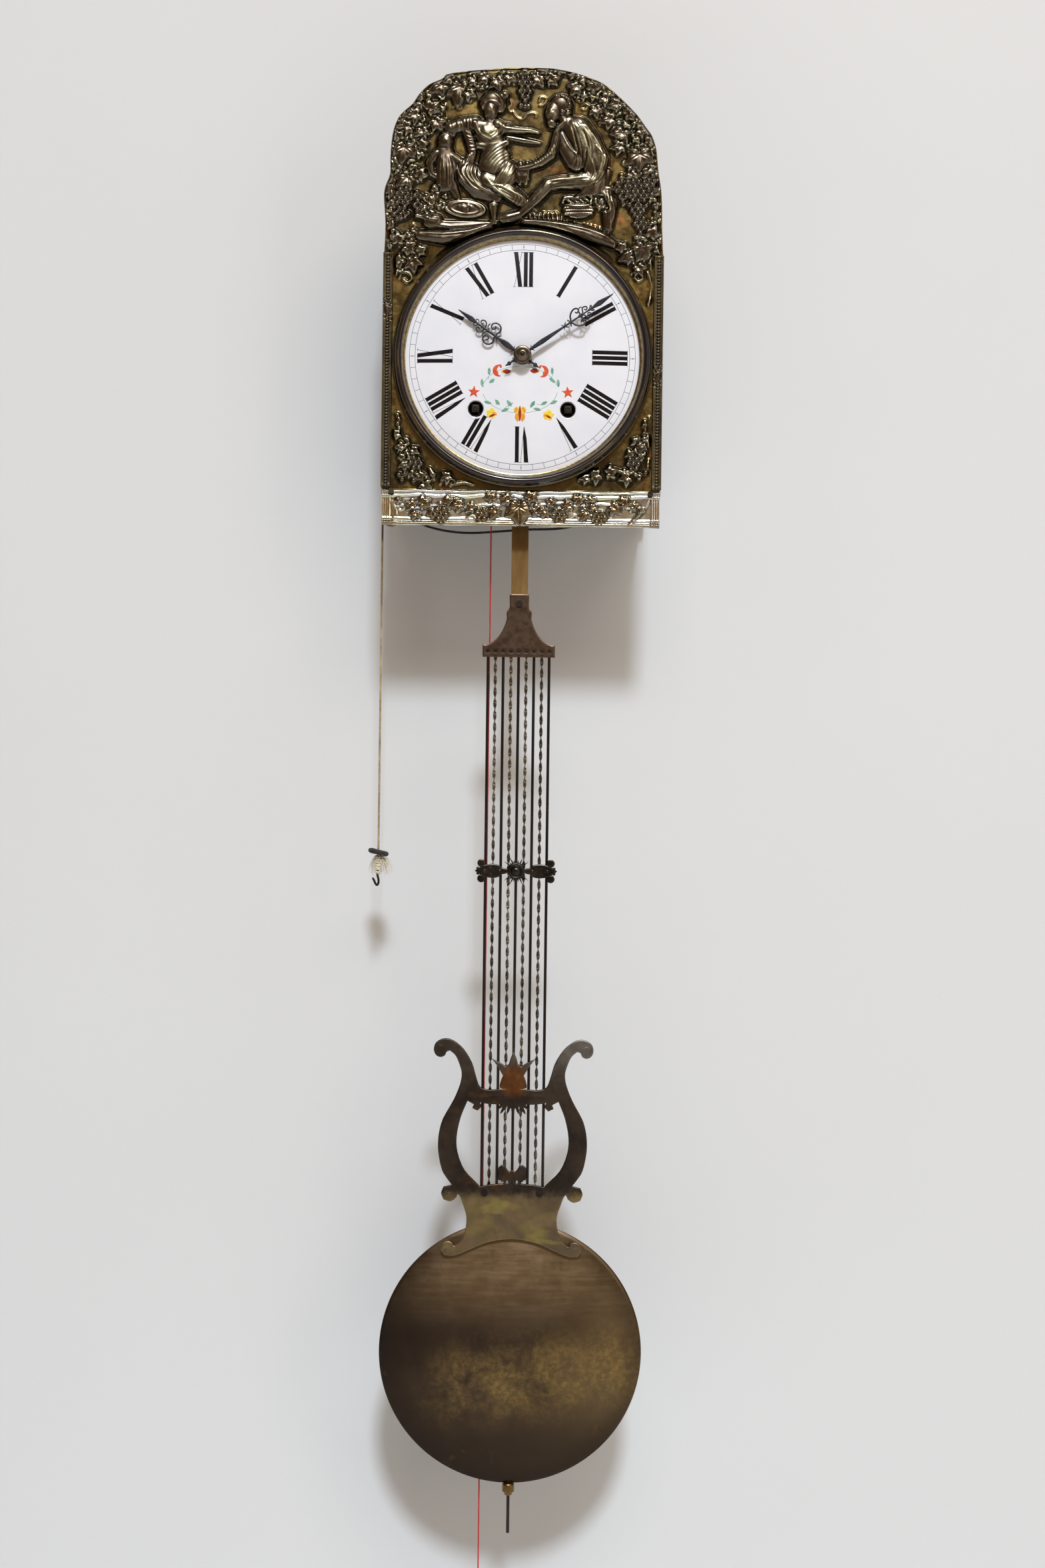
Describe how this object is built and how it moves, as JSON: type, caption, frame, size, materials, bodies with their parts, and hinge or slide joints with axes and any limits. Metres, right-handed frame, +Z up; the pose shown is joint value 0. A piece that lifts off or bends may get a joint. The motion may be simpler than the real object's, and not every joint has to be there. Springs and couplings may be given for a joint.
{
  "type": "comtoise clock",
  "caption": "Wall clock with a pressed brass front and pediment, convex enamel dial, weight-driven movement in a plate cage, bell, and a long lyre pendulum with a lens bob.",
  "frame": {"origin": "centre of the wall-hook hole, in the plane of the wall", "axes": "+Z up, +Y from the clock into the wall, so the dial faces -Y; +X to the right as seen from the front"},
  "size_m": [0.275, 0.1758, 1.4816],
  "materials": {
    "steel_dark": "satin",
    "steel_bright": "satin",
    "iron_plate": "satin, darkened",
    "brass_relief": "pressed, patinated",
    "brass_bright": "pressed, silvery",
    "bezel_metal": "blackened, worn edges",
    "enamel": "glossy",
    "hand_steel": "blued, dark",
    "brass_wheel": "satin",
    "bell_metal": "polished",
    "strap_brass": "aged",
    "lyre_metal": "dark patina",
    "bob_brass": "dark patina",
    "hemp": "twisted cord",
    "dark_cord": "twisted cord",
    "red_cord": "thin twisted cord",
    "knot_thread": "bound thread",
    "disc_leather": "dark",
    "bead_wood": "turned"
  },
  "bodies": {
    "case": {"bottom_plate": "iron_plate", "top_plate": "iron_plate", "corner_posts": "iron_plate", "front_bars": "steel_dark", "rear_bars": "steel_dark", "back_plate": "iron_plate", "hanging_strap": "steel_dark", "wall_spurs": "steel_dark", "front_sheet": "brass_relief", "side_mouldings": "brass_relief", "lower_frieze": "brass_bright", "dial_bezel": "bezel_metal", "enamel_dial": "enamel", "case_screws": "steel_dark", "bell": "bell_metal", "bell_stand": "steel_dark", "suspension_cock": "steel_dark", "roller_bracket": "steel_dark", "strike_cord_inner": "hemp", "strike_cord": "hemp", "going_cord": "dark_cord"},
    "left_door": {"left_door": "iron_plate"},
    "right_door": {"right_door": "iron_plate"},
    "going_wheel": {"going_great_wheel": "brass_wheel"},
    "going_drum": {"going_drum": "brass_wheel"},
    "going_click": {"going_click": "steel_bright"},
    "centre": {"centre_arbor": "brass_wheel", "minute_hand": "hand_steel", "hand_nut": "hand_steel"},
    "third": {"third_wheel": "brass_wheel"},
    "escape": {"escape_wheel": "brass_wheel"},
    "anchor": {"anchor": "steel_bright"},
    "minute_wheel": {"minute_wheel": "brass_wheel"},
    "hour_pipe": {"hour_wheel": "brass_wheel", "hour_hand": "hand_steel"},
    "strike_wheel": {"strike_great_wheel": "brass_wheel"},
    "strike_drum": {"strike_drum": "brass_wheel"},
    "strike_click": {"strike_click": "steel_bright"},
    "pin_wheel": {"pin_wheel": "brass_wheel"},
    "warning_wheel": {"warning_wheel": "brass_wheel"},
    "fly": {"fly": "brass_wheel"},
    "hammer": {"hammer": "steel_dark"},
    "rack": {"rack": "steel_bright"},
    "repeat_lever": {"repeat_lever": "steel_dark"},
    "pendulum": {"suspension_spring": "steel_bright", "pendulum_strap": "strap_brass", "head_plate": "lyre_metal", "steel_rods": "steel_dark", "twisted_wires": "strap_brass", "middle_collar": "lyre_metal", "lyre_plate": "lyre_metal", "bob": "bob_brass", "rating_nut": "strap_brass", "pendulum_screws": "steel_dark"},
    "weight_line": {"stop_disc": "disc_leather", "cord_knot": "knot_thread", "weight_hook": "steel_dark"},
    "guide_roller": {"guide_roller": "brass_wheel"},
    "repeat_pull": {"repeat_cord": "red_cord", "repeat_bead": "bead_wood"}
  },
  "joints": [
    {"name": "left_door_swing", "type": "hinge", "parent": "case", "child": "left_door", "pos_m": [-0.1215, -0.02, -0.125], "axis": [0, 0, 1], "range_deg": [-95, 0]},
    {"name": "right_door_swing", "type": "hinge", "parent": "case", "child": "right_door", "pos_m": [0.1215, -0.02, -0.125], "axis": [0, 0, 1], "range_deg": [0, 95]},
    {"name": "minute_turn", "type": "hinge", "parent": "case", "child": "centre", "pos_m": [0, -0.08, -0.125], "axis": [0, 1, 0], "continuous": true},
    {"name": "hour_turn", "type": "hinge", "parent": "case", "child": "hour_pipe", "pos_m": [0, -0.08, -0.125], "axis": [0, 1, 0], "continuous": true},
    {"name": "minute_wheel_turn", "type": "hinge", "parent": "case", "child": "minute_wheel", "pos_m": [0, -0.08, -0.097], "axis": [0, 1, 0], "continuous": true},
    {"name": "going_wheel_turn", "type": "hinge", "parent": "case", "child": "going_wheel", "pos_m": [0.043, -0.08, -0.174], "axis": [0, 1, 0], "continuous": true},
    {"name": "third_wheel_turn", "type": "hinge", "parent": "case", "child": "third", "pos_m": [0.043, -0.08, -0.097], "axis": [0, 1, 0], "continuous": true},
    {"name": "escape_wheel_turn", "type": "hinge", "parent": "case", "child": "escape", "pos_m": [0, -0.08, -0.069], "axis": [0, 1, 0], "continuous": true},
    {"name": "going_drum_wind", "type": "hinge", "parent": "going_wheel", "child": "going_drum", "pos_m": [0.043, -0.08, -0.174], "axis": [0, 1, 0], "range_deg": [0, 720]},
    {"name": "going_click_lift", "type": "hinge", "parent": "going_wheel", "child": "going_click", "pos_m": [0.02711, -0.0916, -0.15217], "axis": [0, 1, 0], "range_deg": [0, 12], "stiffness_Nm_per_rad": 0.005, "springref_deg": -2.86},
    {"name": "pin_wheel_turn", "type": "hinge", "parent": "case", "child": "pin_wheel", "pos_m": [-0.046, -0.08, -0.107], "axis": [0, 1, 0], "continuous": true},
    {"name": "strike_wheel_turn", "type": "hinge", "parent": "case", "child": "strike_wheel", "pos_m": [-0.043, -0.08, -0.174], "axis": [0, 1, 0], "continuous": true},
    {"name": "warning_wheel_turn", "type": "hinge", "parent": "case", "child": "warning_wheel", "pos_m": [-0.043, -0.08, -0.065], "axis": [0, 1, 0], "continuous": true},
    {"name": "fly_turn", "type": "hinge", "parent": "case", "child": "fly", "pos_m": [-0.043, -0.08, -0.039], "axis": [0, 1, 0], "continuous": true},
    {"name": "strike_drum_wind", "type": "hinge", "parent": "strike_wheel", "child": "strike_drum", "pos_m": [-0.043, -0.08, -0.174], "axis": [0, 1, 0], "range_deg": [0, 668]},
    {"name": "strike_click_lift", "type": "hinge", "parent": "strike_wheel", "child": "strike_click", "pos_m": [-0.02622, -0.0483, -0.15285], "axis": [0, 1, 0], "range_deg": [-12, 0], "stiffness_Nm_per_rad": 0.005, "springref_deg": 2.86},
    {"name": "weight_line_lift", "type": "slide", "parent": "case", "child": "weight_line", "axis": [0, 0, 1], "range_m": [0, 0.2802], "deforming": ["strike_cord"]},
    {"name": "guide_roller_turn", "type": "hinge", "parent": "case", "child": "guide_roller", "pos_m": [-0.1254, -0.08, -0.266], "axis": [0, 1, 0], "range_deg": [0, 1960]},
    {"name": "hammer_lift", "type": "hinge", "parent": "case", "child": "hammer", "pos_m": [-0.098, -0.038, -0.125], "axis": [0, 0, 1], "range_deg": [-18, 0], "stiffness_Nm_per_rad": 0.02, "springref_deg": 5.73},
    {"name": "rack_drop", "type": "slide", "parent": "case", "child": "rack", "axis": [0, 0, 1], "range_m": [-0.028, 0]},
    {"name": "pendulum_swing", "type": "hinge", "parent": "case", "child": "pendulum", "pos_m": [0, -0.13, -0.033], "axis": [0, 1, 0], "range_deg": [-3.5, 3.5]},
    {"name": "anchor_rock", "type": "hinge", "parent": "case", "child": "anchor", "pos_m": [0, -0.1, -0.033], "axis": [0, 1, 0], "range_deg": [-3.5, 3.5]},
    {"name": "repeat_pull_down", "type": "slide", "parent": "case", "child": "repeat_pull", "axis": [0, 0, -1], "range_m": [0, 0.005], "stiffness_N_per_m": 60, "springref_m": -0.003},
    {"name": "repeat_lever_turn", "type": "hinge", "parent": "case", "child": "repeat_lever", "pos_m": [-0.043, -0.1005, -0.225], "axis": [0, 1, 0], "range_deg": [0, 20]}
  ],
  "couplings": [
    {"joint": "hour_turn", "follows": "minute_turn", "ratio": 0.083333},
    {"joint": "minute_wheel_turn", "follows": "minute_turn", "ratio": -0.33333},
    {"joint": "going_wheel_turn", "follows": "minute_turn", "ratio": -0.125},
    {"joint": "third_wheel_turn", "follows": "minute_turn", "ratio": -7.5},
    {"joint": "escape_wheel_turn", "follows": "minute_turn", "ratio": 60},
    {"joint": "strike_wheel_turn", "follows": "pin_wheel_turn", "ratio": -0.125},
    {"joint": "warning_wheel_turn", "follows": "pin_wheel_turn", "ratio": -9},
    {"joint": "fly_turn", "follows": "pin_wheel_turn", "ratio": 72},
    {"joint": "weight_line_lift", "follows": "strike_drum_wind", "m_per_rad": 0.0236},
    {"joint": "guide_roller_turn", "follows": "strike_drum_wind", "ratio": 2.9136},
    {"joint": "anchor_rock", "follows": "pendulum_swing", "ratio": 1},
    {"joint": "repeat_lever_turn", "follows": "repeat_pull_down", "rad_per_m": 66.667}
  ]
}
